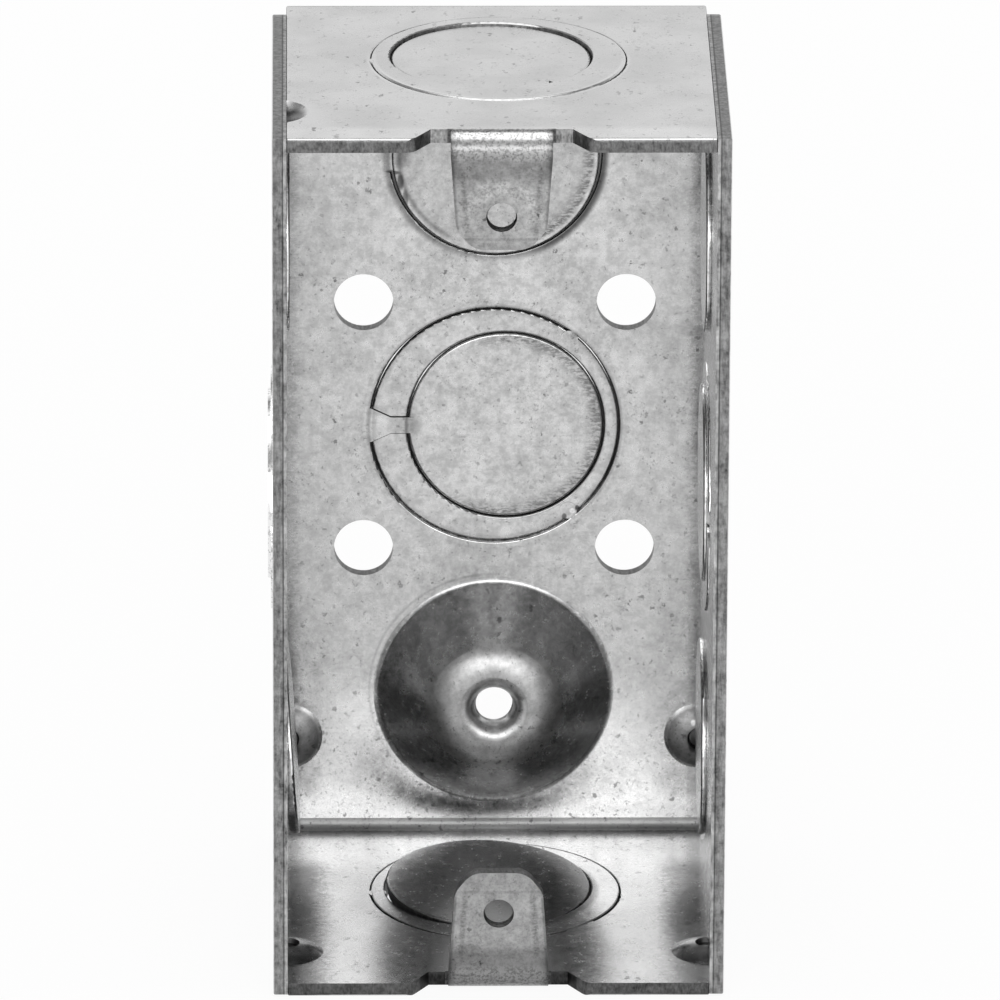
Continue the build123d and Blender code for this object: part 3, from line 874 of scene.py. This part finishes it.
    def drawn(self) -> Socket:
        """Where the panel was drawn, which dulled the zinc: the dome's crown and the dimples."""
        domes = self.graph.math("MAXIMUM", self.meet(self.crown), self.meet(self.dimple))
        return self.graph.product(domes, self.on_panel)

    def worn(self) -> Socket:
        """How thickly the panel is pitted, most of all lower down."""
        return self.graph.product(self.meet(self.low_panel), self.on_back, self.low_panel_wear)

    def shade(self) -> Socket:
        """How much of its tone a face keeps under the painted shade and highlights of all the marks, bands
        and spots, and the painted highlight on the top rim.
        """
        graph = self.graph
        rim_share = graph.math("MULTIPLY_ADD", self.top_rim_highlight, self.rim_highlight_gain, 1.0)
        marks = (mark.share(graph, self.measures, self.zones) for mark in STRIP_SHADE_AND_MARKS)
        return graph.product(rim_share, *marks, graph.mix(self.on_panel, 1.0, self.panel_share()))

    def panel_share(self) -> Socket:
        """How much of its tone the back panel keeps inside its bands and spots of painted shade and
        highlight, which is all outside them.
        """
        graph = self.graph
        centres = dict.fromkeys(band.centre for band in PANEL_SHADE_BANDS)
        offsets = {centre: graph.offset(self.place, centre) for centre in centres}
        shares = []
        for band in PANEL_SHADE_BANDS:
            reach = band.mask(graph, *offsets[band.centre], self.streak_noise)
            shares.append(graph.math("MULTIPLY_ADD", reach, -band.depth, 1.0))
        return graph.product(*shares, *(spot.share(graph, self.place) for spot in PANEL_LIGHT_AND_SHADE_SPOTS))


@dataclass
class PlateRegions:
    """Finds the cut edges of a side plate, which face any way but across the box.

    Sizes are in millimetres. The rim is how far the plate's own edges reach in; what is cut within them is
    the wall of a slug or of a slit.
    """

    graph: Graph
    place: Socket
    facing: Socket
    cut_turn: float = 0.65
    cut_turn_full: float = 0.40
    rim: float = 1.7
    inner: float = 23.6
    roll: float = 0.36
    roll_fade: float = 0.04
    # Shares of the cut tone: the roll and the slugs' walls get painted highlight, the line by the roll
    # painted shade.
    roll_share: float = 1.5
    line_in: float = 0.42
    line_half: float = 0.14
    line_core: float = 0.03
    line_share: float = 0.45
    slug_share: float = 4.0

    def __post_init__(self) -> None:
        """Find how far in from the plate's edges a point is."""
        graph = self.graph
        self.across, deep, up = graph.split(self.place)
        self.outward = graph.split(self.facing)[0]
        from_end = graph.math("MINIMUM", up, graph.math("SUBTRACT", LENGTH, up))
        from_side = graph.math("SUBTRACT", DEPTH / 2, graph.math("ABSOLUTE", deep))
        self.within = graph.math("GREATER_THAN", graph.math("MINIMUM", from_end, from_side), self.rim)

    def cut(self) -> Socket:
        """The cut edges, which is all that doesn't face across."""
        return self.graph.span(self.graph.math("ABSOLUTE", self.outward), self.cut_turn, self.cut_turn_full)

    def inward(self) -> Socket:
        """The faces toward the inside of the box, which get painted shade."""
        return self.graph.math("LESS_THAN", self.graph.product(self.outward, self.across), 0.0)

    def cut_share(self) -> Socket:
        """How much of its tone a cut keeps: more on the roll and on slugs as painted highlight, less along a
        line by the roll as painted shade.
        """
        graph = self.graph
        inset = graph.math("SUBTRACT", graph.math("ABSOLUTE", self.across), self.inner)
        roll = graph.span(inset, self.roll + self.roll_fade, self.roll - self.roll_fade, 1.0, self.roll_share)
        beside = graph.gap(inset, self.line_in)
        line = graph.span(beside, self.line_half, self.line_core, 1.0, self.line_share)
        return graph.mix(self.within, graph.product(roll, line), self.slug_share)


@dataclass
class FoldedStrip:
    """The back panel, end walls and ears, which are one piece of sheet."""

    finish: SheetFinish

    def dress(self) -> None:
        """Give the strip its finish."""
        node = frame["nodes"][Piece.STRIP.value]
        node.material_slots[0].material = self.finish.build(Piece.STRIP)
        log.info("folded strip dressed")


@dataclass
class SidePlate:
    """One flat side plate."""

    piece: Piece
    finish: SheetFinish

    def dress(self) -> None:
        """Give the plate its finish."""
        node = frame["nodes"][self.piece.value]
        node.material_slots[0].material = self.finish.build(self.piece)
        log.info("%s dressed", self.piece.value)


@dataclass
class Thread:
    """The ridge of a fine screw thread on the wall of a hole that runs along Y.

    It tapers away over a share of its length at each end, and its foot is sunk a little into the wall.
    """

    name: str
    centre: Vector
    radius: float
    length: float
    pitch: float = 0.79 * MM
    depth: float = 0.12 * MM
    sink: float = 0.03 * MM
    half_share: float = 0.42
    taper_share: float = 1 / 6
    steps: int = 56

    def build(self, material: bpy.types.Material) -> bpy.types.Object:
        """Make the ridge and let it ride with the box.

        Args:
            material: What it is made of.

        Returns:
            The new object.
        """
        turns = self.length / self.pitch
        count = int(turns * self.steps)
        wall = self.radius + self.sink
        front, back = self.centre.y - self.length / 2, self.centre.y + self.length / 2
        points, faces = [], []
        for index in range(count + 1):
            share = index / count
            angle = 2 * math.pi * turns * share
            taper = min(1.0, share / self.taper_share, (1 - share) / self.taper_share)
            y = front + self.length * share
            half = self.half_share * self.pitch * taper
            profile = ((wall, -half), (self.radius - self.depth * taper, 0.0), (wall, half))
            for reach, shift in profile:
                points.append((
                    self.centre.x + reach * math.cos(angle),
                    min(max(y + shift, front), back),
                    self.centre.z + reach * math.sin(angle),
                ))
        for index in range(count):
            first = 3 * index
            faces.append((first, first + 1, first + 4, first + 3))
            faces.append((first + 1, first + 2, first + 5, first + 4))
        mesh = bpy.data.meshes.new(self.name)
        mesh.from_pydata(points, [], faces)
        mesh.materials.append(material)
        piece = bpy.data.objects.new(self.name, mesh)
        bpy.context.scene.collection.objects.link(piece)
        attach(piece, "root")
        log.info("%s cut, %.1f turns", self.name, turns)
        return piece


@dataclass
class TappedHoles:
    """The threads of the cover screws' holes and of the grounding hole, placed by the record's mounts."""

    ear_sheet: float = 1.59 * MM

    def build(self, material: bpy.types.Material) -> list[bpy.types.Object]:
        """Cut all the threads.

        Args:
            material: What the sheet is made of.

        Returns:
            The new objects.
        """
        cover = mount("cover_screws")
        middle = Vector(cover["pos_m"]) + Vector((0, self.ear_sheet / 2, 0))
        rise = Vector((0, 0, cover["dims"]["spacing_y_mm"] * MM / 2))
        radius = cover["dims"]["hole_r_mm"] * MM
        ground = mount("ground_screw")
        hole = ground["dims"]
        threads = [
            Thread("lower_ear_thread", middle - rise, radius, self.ear_sheet),
            Thread("upper_ear_thread", middle + rise, radius, self.ear_sheet),
            Thread("ground_thread", Vector(ground["pos_m"]), hole["r_mm"] * MM, hole["length_mm"] * MM),
        ]
        return [thread.build(material) for thread in threads]


@dataclass(frozen=True)
class Studio:
    """A pale floor in a light tent: bright walls, a large softbox in front and a soft light overhead.

    Levels are what a white card there would show. The top, the ceiling and the low and high edges of the
    front softbox are given as sines of the angle above the horizon. The sides, which are darker, and the
    edges of the front are given as cosines of the angle from straight ahead or behind.
    """

    floor_half: float = 8.0
    floor_tone: float = 0.80
    floor_glow: float = 1.02
    floor_seen_share: float = 0.90
    floor_mirrored_share: float = 0.55
    wall_level: float = 1.0
    side_level: float = 0.27
    side_start: float = 0.75
    side_full: float = 0.35
    ceiling_level: float = 0.28
    ceiling_start: float = 0.42
    ceiling_full: float = 0.62
    top_level: float = 1.9
    top_start: float = 0.80
    top_full: float = 0.93
    front_level: float = 3.3
    front_edge: float = 0.72
    front_full: float = 0.90
    front_low: float = 0.04
    front_low_full: float = 0.16
    front_high_full: float = 0.40
    front_high: float = 0.52
    above_one: float = 1.0001

    def build_world(self) -> None:
        """Make the tent around the floor, its levels given by direction alone."""
        world = bpy.data.worlds.new("light_tent")
        world.use_nodes = True
        bpy.context.scene.world = world
        graph = Graph(world.node_tree)
        _, deep, rise = graph.split(graph.add("TexCoord", {}).outputs["Generated"])
        flat_reach = graph.math("SQRT", graph.math("SUBTRACT", self.above_one, graph.product(rise, rise)))
        ahead = graph.math("DIVIDE", deep, flat_reach)
        square = graph.math("ABSOLUTE", ahead)
        wall = graph.span(square, self.side_start, self.side_full, self.wall_level, self.side_level)
        ceiling = graph.span(rise, self.ceiling_start, self.ceiling_full)
        level = graph.mix(ceiling, wall, self.ceiling_level)
        level = graph.mix(graph.span(rise, self.top_start, self.top_full), level, self.top_level)
        front = graph.product(
            graph.span(ahead, -self.front_edge, -self.front_full),
            graph.span(rise, self.front_low, self.front_low_full),
            graph.span(rise, self.front_high, self.front_high_full),
        )
        level = graph.mix(front, level, self.front_level)
        seen = graph.add("LightPath", {}).outputs["Is Camera Ray"]
        colour = graph.grey(graph.mix(seen, level, 1.0))
        background = graph.add("Background", {"Color": colour, "Strength": 1.0})
        graph.add("OutputWorld", {"Surface": background.outputs[0]})

    def build_floor(self) -> None:
        """Lay the floor, which the camera and the metal see as white paper with a faint shadow."""
        half = self.floor_half
        mesh = bpy.data.meshes.new("floor")
        corners = [(-half, -half, 0), (half, -half, 0), (half, half, 0), (-half, half, 0)]
        mesh.from_pydata(corners, [], [(0, 1, 2, 3)])
        floor = bpy.data.objects.new("floor", mesh)
        bpy.context.scene.collection.objects.link(floor)
        material = bpy.data.materials.new("floor_paper")
        material.use_nodes = True
        graph = Graph(material.node_tree)
        path = graph.add("LightPath", {}).outputs
        mirrored = graph.math("MAXIMUM", path["Is Glossy Ray"], path["Is Transmission Ray"])
        share = graph.product(mirrored, self.floor_mirrored_share)
        share = graph.mix(path["Is Camera Ray"], share, self.floor_seen_share)
        paper = graph.add("BsdfDiffuse", {"Color": (self.floor_tone,) * 3 + (1.0,)})
        glow = graph.add("Emission", {"Color": (1.0, 1.0, 1.0, 1.0), "Strength": self.floor_glow})
        mixed = graph.add("MixShader", {0: share, 1: paper.outputs[0], 2: glow.outputs[0]})
        graph.add("OutputMaterial", {"Surface": mixed.outputs[0]})
        mesh.materials.append(material)

    def build(self) -> None:
        """Set up the whole studio."""
        self.build_world()
        self.build_floor()
        log.info("studio set")


@dataclass(frozen=True)
class PhotoCamera:
    """The camera that took the photograph, fitted to the corners and holes that it shows.

    The position and the far limit are in metres, the angles in degrees, and the lens and sensor in
    millimetres.
    """

    place: tuple = (-0.022455, -1.41124, 0.586405)
    turn: float = 0.924
    down: float = 20.7956
    roll: float = 0.24731
    lens: float = 484.1
    sensor: float = 36.0
    far: float = 100.0

    def build(self) -> None:
        """Set the camera up and make it the scene's own."""
        turn, down, roll = (math.radians(angle) for angle in (self.turn, self.down, self.roll))
        level = math.cos(down)
        ahead = Vector((math.sin(turn) * level, math.cos(turn) * level, -math.sin(down)))
        right = Vector((math.cos(turn), -math.sin(turn), 0.0))
        up = right.cross(ahead)
        tilted_right = math.cos(roll) * right + math.sin(roll) * up
        tilted_up = -math.sin(roll) * right + math.cos(roll) * up
        data = bpy.data.cameras.new("photo_camera")
        data.lens = self.lens
        data.sensor_width = self.sensor
        data.clip_end = self.far
        camera = bpy.data.objects.new("photo_camera", data)
        axes = Matrix((tilted_right, tilted_up, -ahead)).transposed()
        camera.matrix_world = Matrix.Translation(self.place) @ axes.to_4x4()
        bpy.context.scene.collection.objects.link(camera)
        bpy.context.scene.camera = camera
        log.info("camera set")


def main() -> None:
    """Build and dress everything in order."""
    logging.basicConfig(level=logging.INFO, format="%(message)s")
    finish = SheetFinish("galvanised_sheet")
    FoldedStrip(finish).dress()
    SidePlate(Piece.LEFT_PLATE, finish).dress()
    SidePlate(Piece.RIGHT_PLATE, finish).dress()
    strip = frame["nodes"][Piece.STRIP.value]
    TappedHoles().build(strip.material_slots[0].material)
    Studio().build()
    PhotoCamera().build()
    bpy.context.scene.view_settings.view_transform = "Standard"


if __name__ == "__main__":
    main()
